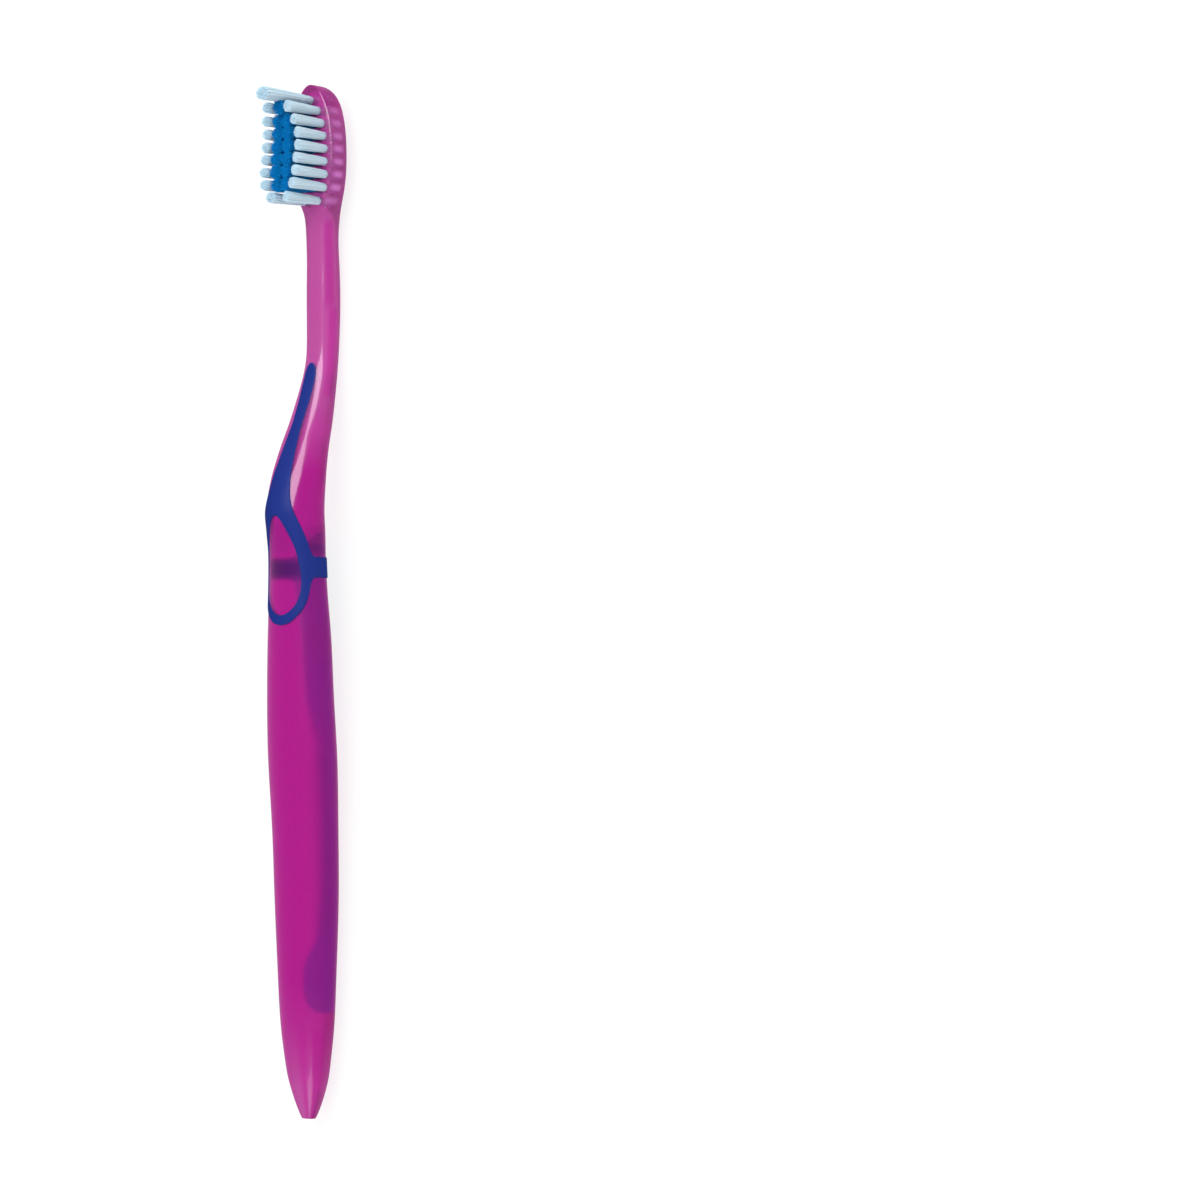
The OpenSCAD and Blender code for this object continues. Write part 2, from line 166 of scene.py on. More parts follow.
class BrushSizes(bpy.types.PropertyGroup):
    """Sizes of the handle and head that the skin is lofted from"""

    head_length: length_prop("Head Length", "From the shoulder to the tip", 0.0235)
    head_w: length_prop("Head Width", "Width of the head", 0.0109)
    head_t: length_prop("Head Thickness", "Thickness of the head", 0.005)
    handle_w: length_prop("Handle Width", "Width at the palm swell", HANDLE_W)
    handle_t: length_prop("Handle Thickness", "Thickness at the palm swell", 0.01035)
    bow_rise: length_prop("Bow", "Rise of the thumb belly", 0.00345)
    butt_flat_w: length_prop("Butt Flat", "Width of the flat at the butt", 0.0028)
    neck_w: length_prop("Neck Width", "Width of the neck", 0.0059)
    neck_t: length_prop("Neck Thickness", "Thickness of the neck", 0.0055)
    neck_set_back: length_prop("Neck Set-back", "How far the neck lies behind the butt", 0.0038)
    face_set_back: length_prop("Face Set-back", "How far the face lies behind the butt", 0.00025)
    ring_sides: IntProperty(name="Ring Sides", description="Points round one ring", default=32)


class GripSettings(bpy.types.PropertyGroup):
    """Sizes and colour of the soft grip"""

    proud: length_prop("Proud", "How far the rubber stands off the handle", 0.00015)
    depth: length_prop("Depth", "Depth of the rubber in the handle", 0.0013)
    band_w: length_prop("Band Width", "Width of the band", 0.0037)
    edge: length_prop("Edge Radius", "Rounding of its rim", 0.00017)
    fillet: length_prop("Fillet", "Rounding where the band meets ring and pad", 0.0012)
    colour: colour_prop("Rubber", "Colour of the rubber", (0.0042, 0.017, 0.16))
    # Painted light, not a second rubber: the paler blue towards the back.
    painted_back_blue: colour_prop("Back Rubber", "Colour of the rubber down the back", (0.01, 0.09, 0.62))


class TuftSettings(bpy.types.PropertyGroup):
    """Filaments of the tufts and their colours"""

    count: IntProperty(name="Filaments", description="Filament ends in one tuft", default=130)
    filament_d: length_prop("Filament", "Diameter of a filament", 0.00015)
    hole_depth: length_prop("Hole Depth", "Depth of a tuft hole", 0.0029)
    white_flare: number_prop("White Flare", "Width of an outer tuft's tips over its strands'", 1.12)
    blue_flare: number_prop("Blue Flare", "Width of an inner tuft's tips over its strands'", 1.58)
    white: colour_prop("White Filament", "Colour of the outer tufts", (0.79, 0.93, 1))
    white_tip: colour_prop("White Tip", "Colour of their trimmed ends", (0.82, 0.95, 1))
    blue: colour_prop("Blue Filament", "Colour of the inner tufts", (0.004, 0.35, 0.76))
    blue_tip: colour_prop("Blue Tip", "Colour of their trimmed ends", (0.004, 0.44, 0.84))


class PlasticSettings(bpy.types.PropertyGroup):
    """Clear plastic of the handle"""

    tint: colour_prop("Thick Tint", "Tint where the plastic is thick", (0.49, 0.001, 0.305))
    thin_tint: colour_prop("Thin Tint", "Tint where the plastic is thin", (0.55, 0.105, 0.39))
    # Painted light: the pale patches where the tuft roots show through the head.
    root_tint: colour_prop("Root Tint", "Tint where tuft roots show through", (0.53, 0.165, 0.5))
    # Painted light: the pale rim that grows at grazing angles.
    rim_tint: colour_prop("Rim Tint", "Tint of the light that the edges gather", (0.95, 0.24, 0.7))
    rim_share: number_prop("Rim Share", "How much of it shows at the very edge", 0.7)
    dusk_tint: colour_prop("Dusk Tint", "Tint in the shade of the rubber", (0.17, 0.001, 0.2))
    depth_tint: colour_prop("Depth Tint", "Colour that the depth leaves", (0.93, 0.35, 0.88))
    density: number_prop("Density", "How soon the depth tint sets in, per metre", 200)
    clearness: number_prop("Clearness", "Share of the light that isn't scattered", 0.66)
    ior: number_prop("IOR", "Refraction of the plastic", 1.5)
    roughness: number_prop("Roughness", "Polish of the mould", 0.26)


class StageSettings(bpy.types.PropertyGroup):
    """Floor, lamps and camera"""

    floor_colour: colour_prop("Floor", "Colour of the floor", (0.86, 0.86, 0.86))
    floor_size: length_prop("Floor Size", "Width of the floor", 6)
    fill: number_prop("Fill", "Strength of the light from all round", 1.15)
    gloss: number_prop("Gloss", "Strength of the surroundings in reflections", 0.09)
    head_power: number_prop("Head Lamp", "Power of the lamp over the head", 5.8, unit="POWER")
    butt_power: number_prop("Butt Lamp", "Power of the lamp over the butt", 1.3, unit="POWER")
    distance: length_prop("Camera Distance", "From the brush to the camera", 0.72)
    side: length_prop("Camera Side", "How far the camera stands to the side", 0.0526)
    turn: number_prop(
        "Camera Turn", "How far the view is turned to the brush's side", math.radians(40.8), subtype="ANGLE")
    lens: number_prop("Lens", "Focal length in millimetres", 120.74)


def settings(name):
    return getattr(bpy.context.scene, "toothbrush_" + name)


# The skin of the handle, as a function of the station along the brush and the angle round it


class Skin:
    """Sections of the brush, from the butt at station 0 to the tip of the head."""

    def __init__(self, sizes, grip_proud):
        self.sizes = sizes
        self.body = BRUSH_LENGTH - sizes.head_length
        self.keys = [self.section(0, sizes.butt_flat_w,
                                  sizes.butt_flat_w * sizes.handle_t / sizes.handle_w, 0, 2, 2)]
        for station, w, t, neck, bow, back, front_round, back_round in BODY_SHARES:
            self.keys.append(self.section(
                station * self.body,
                w * sizes.handle_w + neck * sizes.neck_w,
                t * sizes.handle_t + neck * sizes.neck_t,
                bow * sizes.bow_rise - back * sizes.neck_set_back,
                front_round, back_round))
        head_mid = -sizes.face_set_back - sizes.head_t / 2
        for station, w, t, neck_t, neck_place, front_round, back_round in HEAD_SHARES:
            self.keys.append(self.section(
                self.body + station * sizes.head_length,
                w * sizes.head_w,
                t * sizes.head_t + neck_t * sizes.neck_t,
                -neck_place * sizes.neck_set_back + (1 - neck_place) * head_mid,
                front_round, back_round))
        back = {share: self.column(share * self.body, 3) for share in (HANDLE_REST_SHARE, NECK_REST_SHARE)}
        back[HANDLE_REST_SHARE] -= grip_proud
        run = (NECK_REST_SHARE - HANDLE_REST_SHARE) * self.body
        self.tilt = (back[HANDLE_REST_SHARE] - back[NECK_REST_SHARE]) / run
        self.lowest = back[NECK_REST_SHARE] + self.tilt * NECK_REST_SHARE * self.body

    @staticmethod
    def section(s, w, t, mid, front_round, back_round):
        return (s, w / 2, mid + t / 2, mid - t / 2, front_round, back_round)

    def slope(self, i, k):
        a, b = self.keys[max(i - 1, 0)], self.keys[min(i + 1, len(self.keys) - 1)]
        return (b[k] - a[k]) / (b[0] - a[0])

    def column(self, s, k):
        i = max(0, min(sum(1 for key in self.keys if key[0] <= s) - 1, len(self.keys) - 2))
        p, q = self.keys[i], self.keys[i + 1]
        run = q[0] - p[0]
        f = (s - p[0]) / run
        return ((2 * f**3 - 3 * f**2 + 1) * p[k] + (f**3 - 2 * f**2 + f) * run * self.slope(i, k)
                + (3 * f**2 - 2 * f**3) * q[k] + (f**3 - f**2) * run * self.slope(i + 1, k))

    def at(self, s):
        return (s, *(self.column(s, k) for k in range(1, 6)))

    def tip(self, f):
        """The rounded tip of the head, at a share of its length."""
        last = self.keys[-1]
        start = self.body + TIP_START_SHARE * self.sizes.head_length
        closing = (1 - f**TIP_BACK_POWER) ** (1 / TIP_BACK_ROOT)
        t = self.sizes.head_t * (TIP_T_SHARE + (1 - TIP_T_SHARE) * closing)
        front = -self.sizes.face_set_back
        half_w = self.sizes.head_w / 2 * math.sqrt(1 - f**TIP_PLAN_POWER)
        return (start + f * (BRUSH_LENGTH - start), half_w, front, front - t, last[4], last[5])

    def lift(self, s):
        return self.tilt * s - self.lowest

    def point(self, section, angle, grow=0.0):
        """A point of a section at an angle in degrees from the +Y side, grown outwards."""
        s, half_w, front, back, front_round, back_round = section
        c, sn = math.cos(math.radians(angle)), math.sin(math.radians(angle))
        power = front_round if sn >= 0 else back_round
        y = math.copysign(abs(c) ** (2 / power), c) * (half_w + grow)
        z = (front + back) / 2 + math.copysign(abs(sn) ** (2 / power), sn) * ((front - back) / 2 + grow)
        return Vector((s - BRUSH_LENGTH / 2, y, z + self.lift(s)))

    def ring(self, section, sides):
        return [self.point(section, 360 * i / sides) for i in range(sides)]


# Modelling helpers


def deselect():
    if bpy.context.object and bpy.context.object.mode != "OBJECT":
        bpy.ops.object.mode_set(mode="OBJECT")
    bpy.ops.object.select_all(action="DESELECT")


def pick(piece):
    """Makes one piece the only one selected, and the active one."""
    deselect()
    piece.select_set(True)
    bpy.context.view_layer.objects.active = piece


def start(name):
    """Names the primitive that was just added and opens it for editing."""
    piece = bpy.context.object
    piece.name = piece.data.name = name
    bpy.ops.object.mode_set(mode="EDIT")
    bpy.ops.mesh.select_mode(type="VERT")
    return piece


def place_selected(piece, points):
    """Puts the selected vertices, in the order of their ring, on points."""
    mesh = bmesh.from_edit_mesh(piece.data)
    chosen = [v for v in mesh.verts if v.select]
    for vertex, point in zip(chosen, points, strict=True):
        vertex.co = point
    bmesh.update_edit_mesh(piece.data)


def loft(name, rings):
    """A tube extruded ring by ring from a circle. Its ends stay open."""
    deselect()
    sides = len(rings[0])
    bpy.ops.mesh.primitive_circle_add(vertices=sides, radius=1, location=(0, 0, 0))
    piece = start(name)
    place_selected(piece, rings[0])
    for ring in rings[1:]:
        bpy.ops.mesh.extrude_region_move()
        place_selected(piece, ring)
    return piece


def apply(piece, kind, **values):
    """Adds a modifier with these values and applies it."""
    pick(piece)
    modifier = piece.modifiers.new(kind.title(), kind)
    for key, value in values.items():
        setattr(modifier, key, value)
    bpy.ops.object.modifier_apply(modifier=modifier.name)


def put_note(piece, name, values):
    """Gives each vertex of a piece a value that its material reads."""
    attribute = piece.data.attributes.new(name, "FLOAT", "POINT")
    attribute.data.foreach_set("value", np.asarray(values, np.float32))


def face_outwards(piece):
    pick(piece)
    bpy.ops.object.mode_set(mode="EDIT")
    bpy.ops.mesh.select_all(action="SELECT")
    bpy.ops.mesh.normals_make_consistent(inside=False)
    bpy.ops.object.mode_set(mode="OBJECT")


def smooth(piece, angle=None):
    """Shades a piece smooth, apart from edges sharper than an angle in degrees."""
    pick(piece)
    if angle is None:
        bpy.ops.object.shade_smooth()
    else:
        bpy.ops.object.shade_smooth_by_angle(angle=math.radians(angle))


def hand_over(piece, material, slot, *nodes):
    """Gives a finished piece its material and its place in the frame."""
    piece.data.materials.clear()
    piece.data.materials.append(material)
    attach(piece, ROOT)
    if nodes:
        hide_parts(*nodes)


# Materials


class Wire:
    """A value's socket that takes part in arithmetic. Each operator adds its Math node."""

    def __init__(self, finish, socket):
        self.finish, self.socket = finish, socket

    def _math(self, operation, a, b):
        return self.finish.node("ShaderNodeMath", {"operation": operation}, {0: a, 1: b})

    def __add__(self, other):
        return self._math("ADD", self, other)

    def __sub__(self, other):
        return self._math("SUBTRACT", self, other)

    def __mul__(self, other):
        return self._math("MULTIPLY", self, other)

    def __pow__(self, other):
        return self._math("POWER", self, other)

    def __rsub__(self, other):
        return self._math("SUBTRACT", other, self)

    __radd__ = __add__
    __rmul__ = __mul__


class Finish:
    """A material, or the world, that is made node by node."""

    def __init__(self, owner):
        owner.use_nodes = True
        self.owner = owner
        self.tree = owner.node_tree
        self.tree.nodes.clear()

    def node(self, kind, options=None, inputs=None, output=0):
        """Adds a node with its settings, and with a value or a link for each of its inputs."""
        made = self.tree.nodes.new(kind)
        for key, value in (options or {}).items():
            setattr(made, key, value)
        for key, value in (inputs or {}).items():
            if isinstance(value, Wire):
                self.tree.links.new(value.socket, made.inputs[key])
            else:
                made.inputs[key].default_value = value
        return Wire(self, made.outputs[output])

    def output(self, kind="ShaderNodeOutputMaterial", **sockets):
        made = self.tree.nodes.new(kind)
        for key, value in sockets.items():
            self.tree.links.new(value.socket, made.inputs[key])
        return self.owner

    def ray(self, kind):
        return self.node("ShaderNodeLightPath", output=f"Is {kind} Ray")

    def note(self, name):
        """A value that the piece's vertices carry."""
        return self.node("ShaderNodeAttribute", {"attribute_name": name}, output="Fac")

    def principled(self, inputs):
        return self.node("ShaderNodeBsdfPrincipled", inputs=inputs)

    def mix(self, factor, a, b):
        """Mixes two shaders."""
        return self.node("ShaderNodeMixShader", inputs={0: factor, 1: a, 2: b})

    def noise(self, scale, detail, stretch=(1, 1, 1)):
        place = self.node("ShaderNodeTexCoord", output="Object")
        mapped = self.node("ShaderNodeMapping", inputs={"Vector": place, "Scale": stretch})
        return self.node("ShaderNodeTexNoise", inputs={"Vector": mapped, "Scale": scale, "Detail": detail})

    def bump(self, height, strength, distance):
        return self.node("ShaderNodeBump", inputs={
            "Height": height, "Strength": strength, "Distance": distance})

    def blend(self, factor, a, b):
        """Mixes two colours."""
        return self.node("ShaderNodeMix", {"data_type": "RGBA"}, {0: factor, 6: a, 7: b}, output=2)


def rgba(colour):
    return (*colour, 1)


def material(name):
    return Finish(bpy.data.materials.new(name))


def clear_magenta():
    """Clear tinted plastic from a polished mould. The depth deepens its colour."""
    plastic = settings("plastic")
    look = material("clear_magenta")
    flow = look.noise(55, detail=2, stretch=(0.35, 1, 1))
    # Paler where the plastic is thin; the thin note is also lowered in patches of painted shade, which take
    # the thick tint.
    tint = look.blend(look.note("thin"), rgba(plastic.tint), rgba(plastic.thin_tint))
    # The dusk note is painted shade of the rubber, a dark violet.
    tint = look.blend(look.note("dusk"), tint, rgba(plastic.dusk_tint))
    shader = look.principled({
        "Base Color": tint,
        "Roughness": plastic.roughness + 0.03 * (flow - 0.5),
        "IOR": plastic.ior,
        "Specular IOR Level": 0,
        "Coat Weight": 1,
        "Coat Roughness": 0.1,
        "Transmission Weight": plastic.clearness,
        "Normal": look.bump(flow, 0.03, 0.0004)})
    # Pale patches where the tuft roots show through: painted light, laid on by the roots note.
    root_light_shader = look.principled({
        "Base Color": rgba(plastic.root_tint), "Roughness": 2 * plastic.roughness})
    shader = look.mix(look.note("roots"), shader, root_light_shader)
    # A pale rim at grazing angles: painted light along the edges.
    grazing = look.node("ShaderNodeLayerWeight", inputs={"Blend": 0.5}, output="Facing")
    rim = look.principled({
        "Base Color": rgba(plastic.rim_tint), "Roughness": plastic.roughness})
    shader = look.mix(plastic.rim_share * grazing**4, shader, rim)
    clear = look.node("ShaderNodeBsdfTransparent", inputs={"Color": rgba([c**0.5 for c in plastic.tint])})
    depth = look.node("ShaderNodeVolumeAbsorption", inputs={
        "Color": rgba(plastic.depth_tint), "Density": plastic.density})
    return look.output(Surface=look.mix(look.ray("Shadow"), shader, clear), Volume=depth)


def soft_rubber():
    """Satin rubber with the fine grain of a blasted mould."""
    grip = settings("grip")
    look = material("soft_rubber")
    grain = look.noise(2600, detail=3)
    cloud = look.noise(130, detail=2)
    colour = look.blend(0.35 * cloud, rgba(grip.colour), rgba([1.5 * c for c in grip.colour]))
    # Painted light: paler blue towards the back, where the behind note is high.
    colour = look.blend(look.note("behind"), colour, rgba(grip.painted_back_blue))
    shader = look.principled({
        "Base Color": colour,
        "Roughness": 0.42 + 0.12 * (cloud - 0.5),
        "Specular IOR Level": 0.2,
        "Normal": look.bump(grain, 0.08, 0.00008)})
    return look.output(Surface=shader)


def filament(name, colour, tip):
    """Extruded nylon: each filament differs a little, and its trimmed end is paler."""
    look = material(name)
    strand = look.note("strand")
    shade = look.blend(strand, rgba([0.95 * c for c in colour]), rgba(colour))
    shade = look.blend(0.6 * look.note("rise")**3, shade, rgba(tip))
    shader = look.principled({
        "Base Color": shade,
        "Roughness": 0.4 + 0.1 * strand,
        "Specular IOR Level": 0.3,
        "Subsurface Weight": 0.35,
        "Subsurface Radius": (0.6, 0.8, 1.0),
        "Subsurface Scale": 0.0006})
    through = look.node("ShaderNodeBsdfTranslucent", inputs={"Color": shade})
    return look.output(Surface=look.mix(0.5, shader, through))


def brass_wire():
    """Drawn wire that is cut into plates."""
    look = material("brass_wire")
    draw = look.noise(3000, detail=1, stretch=(1, 1, 0.1))
    shader = look.principled({
        "Base Color": look.blend(draw, (0.6, 0.5, 0.3, 1), (0.8, 0.74, 0.55, 1)),
        "Metallic": 1,
        "Roughness": 0.25 + 0.2 * draw})
    return look.output(Surface=shader)


def pale_floor():
    """Pale floor that shows white and keeps the shadow of what lies on it."""
    stage = settings("stage")
    look = material("pale_floor")
    painted = look.node("ShaderNodeBsdfDiffuse", inputs={"Color": rgba(stage.floor_colour)})
    mirrored, white = (look.node("ShaderNodeEmission", inputs={"Strength": strength})
                       for strength in (stage.gloss, 1))
    share = look.node("ShaderNodeClamp", inputs={
        "Value": 0.8 * look.ray("Camera") + look.ray("Transmission")})
    return look.output(Surface=look.mix(share, look.mix(look.ray("Glossy"), painted, mirrored), white))


class TOOTHBRUSH_OT_stage(bpy.types.Operator):
    """Lay the floor, hang the lamps and set up the camera"""

    bl_idname = "toothbrush.stage"
    bl_label = "Stage"

    # Place, size and turn in degrees of each lamp, and the point that the camera looks at
    HEAD_LAMP = ((0.5, -0.25, 0.8), (0.56, 0.66), -25)
    BUTT_LAMP = ((-0.866, -0.357, 0.8), (0.7, 0.5), 16)
    AIM = (0.36 * MM, 0, 6 * MM)

    def execute(self, context):
        stage = settings("stage")
        deselect()
        bpy.ops.mesh.primitive_plane_add(size=stage.floor_size, location=(0, 0, CAD_LOW.z))
        floor = context.object
        floor.name = "floor"
        floor.data.materials.append(pale_floor())
        self.light_world(stage)
        self.hang("head_softbox", stage.head_power, *self.HEAD_LAMP)
        self.hang("butt_softbox", stage.butt_power, *self.BUTT_LAMP)
        self.set_camera(stage)
        context.scene.view_settings.view_transform = "Standard"
        return {"FINISHED"}

    def light_world(self, stage):
        world = bpy.data.worlds.new("studio")
        bpy.context.scene.world = world
        air = Finish(world)
        dim, mirrored, white = (
            air.node("ShaderNodeBackground", inputs={"Color": (1, 1, 1, 1), "Strength": strength})
            for strength in (stage.fill, stage.gloss, 1))
        seen = air.node("ShaderNodeClamp", inputs={"Value": air.ray("Camera") + air.ray("Transmission")})
        shown = air.mix(seen, air.mix(air.ray("Glossy"), dim, mirrored), white)
        air.output("ShaderNodeOutputWorld", Surface=shown)

    def hang(self, name, power, place, size, turn):
        """An area lamp that faces down."""
        bpy.ops.object.light_add(type="AREA", location=place, rotation=(0, 0, math.radians(turn)))
        lamp = bpy.context.object
        lamp.name = name
        lamp.data.shape = "RECTANGLE"
        lamp.data.size, lamp.data.size_y = size
        lamp.data.energy = power

    def set_camera(self, stage):
        """The camera looks down on the brush from the side of its bristles, with the head at the top."""
        tilt = Skin(settings("sizes"), settings("grip").proud).tilt
        turn = stage.turn
        level = Matrix(((1, 0, -tilt), (0, 1, 0), (tilt, 0, 1)))
        toward = level @ Vector((0, -math.sin(turn), math.cos(turn)))
        right = level @ Vector((0, -math.cos(turn), -math.sin(turn)))
        up = level @ Vector((1, 0, 0))
        centre = level @ Vector(self.AIM)
        bpy.ops.object.camera_add(location=centre + right * stage.side + toward * stage.distance)
        camera = bpy.context.object
        camera.name = "camera"
        axes = [v.normalized() for v in (right, up, toward)]
        camera.rotation_euler = Matrix(axes).transposed().to_euler()
        camera.data.lens = stage.lens
        camera.data.clip_start, camera.data.clip_end = 0.01, 20
        bpy.context.scene.camera = camera


class TOOTHBRUSH_OT_handle(bpy.types.Operator):
    """Loft the clear handle, neck and head"""

    bl_idname = "toothbrush.handle"
    bl_label = "Clear Handle"

    RING_STEPS = 2
    # Rings on the flat of the butt, as shares of its half width
    BUTT_SHARES = (0.35, 0.8, 0.97)
    # Depths at which the plastic has all of its thick tint and all of its thin tint
    THICK, THIN = 8.7 * MM, 5.5 * MM
    # A tuft's root shows as a pale patch on the flank of the head, painted light of the white root seen
    # through the plastic. It reaches from ROOT_DROP below the bottom of the hole to ROOT_REACH above it,
    # and fades out over BLUR at both ends and over ROOT_FADE across the brush. ROOT_HALF is its half
    # width, and BETWEEN_HALF that of the darker ground of painted shade that ROOT_SHADE lays round it,
    # both as shares of the root's radius.
    ROOT_DROP, ROOT_REACH = 0.5 * MM, 2.55 * MM
    BLUR, ROOT_FADE = 1 * MM, 1.7 * MM
    ROOT_HALF, BETWEEN_HALF = 0.75, 2
    ROOT_SHOW, ROOT_SHADE = 0.9, 0.75
    # Patches: stations from and to, as shares of the body, angles from and to, counted from the
    # front, and strength. The dark ones are painted shade, in which the plastic takes the tint of
    # where it is thick, and the dusky ones are painted shade of the rubber.
    DARK = ((0.8, 0.9, 60, 95, 0.6), (0.9, 0.995, 48, 82, 0.6), (1.12, 1.2, -9, 190, 0.6),
            (-0.01, 0.1, 45, 82, 0.75), (-0.01, 0.1, 16, 36, 0.55))
    DUSKY = ((0.597, 0.618, -9, 50, 1), (0.624, 0.655, 60, 125, 0.3),
             (0.624, 0.637, 60, 125, 0.7), (0.624, 0.66, -9, 30, 0.25), (0.2, 0.4, 50, 85, 0.15))
    # How soft their edges are, as a share of the body and in degrees
    ALONG_BLUR, ROUND_BLUR = 0.008, 20

    def execute(self, context):
        sizes = settings("sizes")
        skin = Skin(sizes, settings("grip").proud)
        sides = sizes.ring_sides
        butt = skin.keys[0]
        middle = skin.point(butt, 0) * 0.5 + skin.point(butt, 180) * 0.5
        rings = [[middle.lerp(p, share) for p in skin.ring(butt, sides)] for share in self.BUTT_SHARES]
        for before, after in zip(skin.keys, skin.keys[1:]):
            for step in range(self.RING_STEPS):
                s = before[0] + (after[0] - before[0]) * step / self.RING_STEPS
                rings.append(skin.ring(skin.at(s), sides))
        rings.append(skin.ring(skin.keys[-1], sides))
        rings += [skin.ring(skin.tip(f), sides) for f in TIP_SHARES]
        piece = loft("clear_handle", rings)
        self.close_ends(piece, sides)
        bpy.ops.object.mode_set(mode="OBJECT")
        face_outwards(piece)
        apply(piece, "SUBSURF", levels=2, render_levels=2)
        smooth(piece)
        self.mark(piece, skin)
        hand_over(piece, clear_magenta(), "clear_plastic", "handle")
        return {"FINISHED"}

    def mark(self, piece, skin):
        """Notes on the mesh where the plastic is thin and where tuft roots lie close behind it, with
        painted shade in dark and dusky patches and round the roots, and painted light in pale root patches.
        """
        spots = np.array([v.co for v in piece.data.vertices])
        station = spots[:, 0] + BRUSH_LENGTH / 2
        stations = [key[0] for key in skin.keys]
        depth = np.interp(station, stations, [key[2] - key[3] for key in skin.keys])
        half_w = np.interp(station, stations, [key[1] for key in skin.keys])
        middle = np.interp(station, stations,
                           [(key[2] + key[3]) / 2 + skin.lift(key[0]) for key in skin.keys])
        share = station / skin.body
        angle = np.degrees(np.arctan2(np.abs(spots[:, 1]) / half_w, (spots[:, 2] - middle) / (depth / 2)))
        thin = np.clip((self.THICK - depth) / (self.THICK - self.THIN), 0, 1)
        # Painted shade: the dark patches give the plastic its thick tint, and the dusky ones the dark violet
        # of the rubber's shade.
        thin *= 1 - self.patches(self.DARK, share, angle)
        dusk = self.patches(self.DUSKY, share, angle)
        roots, painted_shade_between = np.zeros((2, len(spots)))
        for node in tuft_nodes():
            root = Root(corners_of(node))
            along, across = np.abs(spots[:, :2] - root.middle).T
            height = spots[:, 2] - root.low
            beside = np.clip((height + self.ROOT_DROP) / self.BLUR, 0, 1)
            beside *= np.clip((self.ROOT_REACH - height) / self.BLUR, 0, 1)
            beside *= np.exp(-(np.maximum(across - root.radii[0], 0) / self.ROOT_FADE)**2)
            for ground, half in ((roots, self.ROOT_HALF), (painted_shade_between, self.BETWEEN_HALF)):
                spread = beside * np.exp(-(along / (half * root.radii[0]))**2)
                np.maximum(ground, spread, out=ground)
        # Painted shade round the pale root patches lowers the thin note; the roots note carries their painted
        # light.
        thin *= 1 - self.ROOT_SHADE * painted_shade_between
        for name, values in (("thin", thin), ("dusk", dusk), ("roots", roots * self.ROOT_SHOW)):
            put_note(piece, name, values)

    def patches(self, rows, share, angle):
        """How strongly each vertex lies in one of the soft-edged patches."""
        strongest = np.zeros(len(share))
        for share_from, share_to, angle_from, angle_to, strength in rows:
            within = strength * np.ones(len(share))
            for values, low, high, blur in ((share, share_from, share_to, self.ALONG_BLUR),
                                            (angle, angle_from, angle_to, self.ROUND_BLUR)):
                for inside in ((values - low) / blur, (high - values) / blur):
                    rise = np.clip(inside + 0.5, 0, 1)
                    within = within * rise * rise * (3 - 2 * rise)
            strongest = np.maximum(strongest, within)
        return strongest

    def close_ends(self, piece, sides):
        """Closes both ends with strips across the brush, first over its front and then over its back."""
        mesh = bmesh.from_edit_mesh(piece.data)
        mesh.verts.ensure_lookup_table()
        half = sides // 2
        for first in (0, len(mesh.verts) - sides):
            for way in (1, -1):
                for j in range(half // 2):
                    corners = [mesh.verts[first + way * k % sides]
                               for k in (j, j + 1, half - 1 - j, half - j)]
                    if corners[1] is corners[2]:
                        del corners[2]
                    mesh.faces.new(corners)
        bmesh.update_edit_mesh(piece.data)


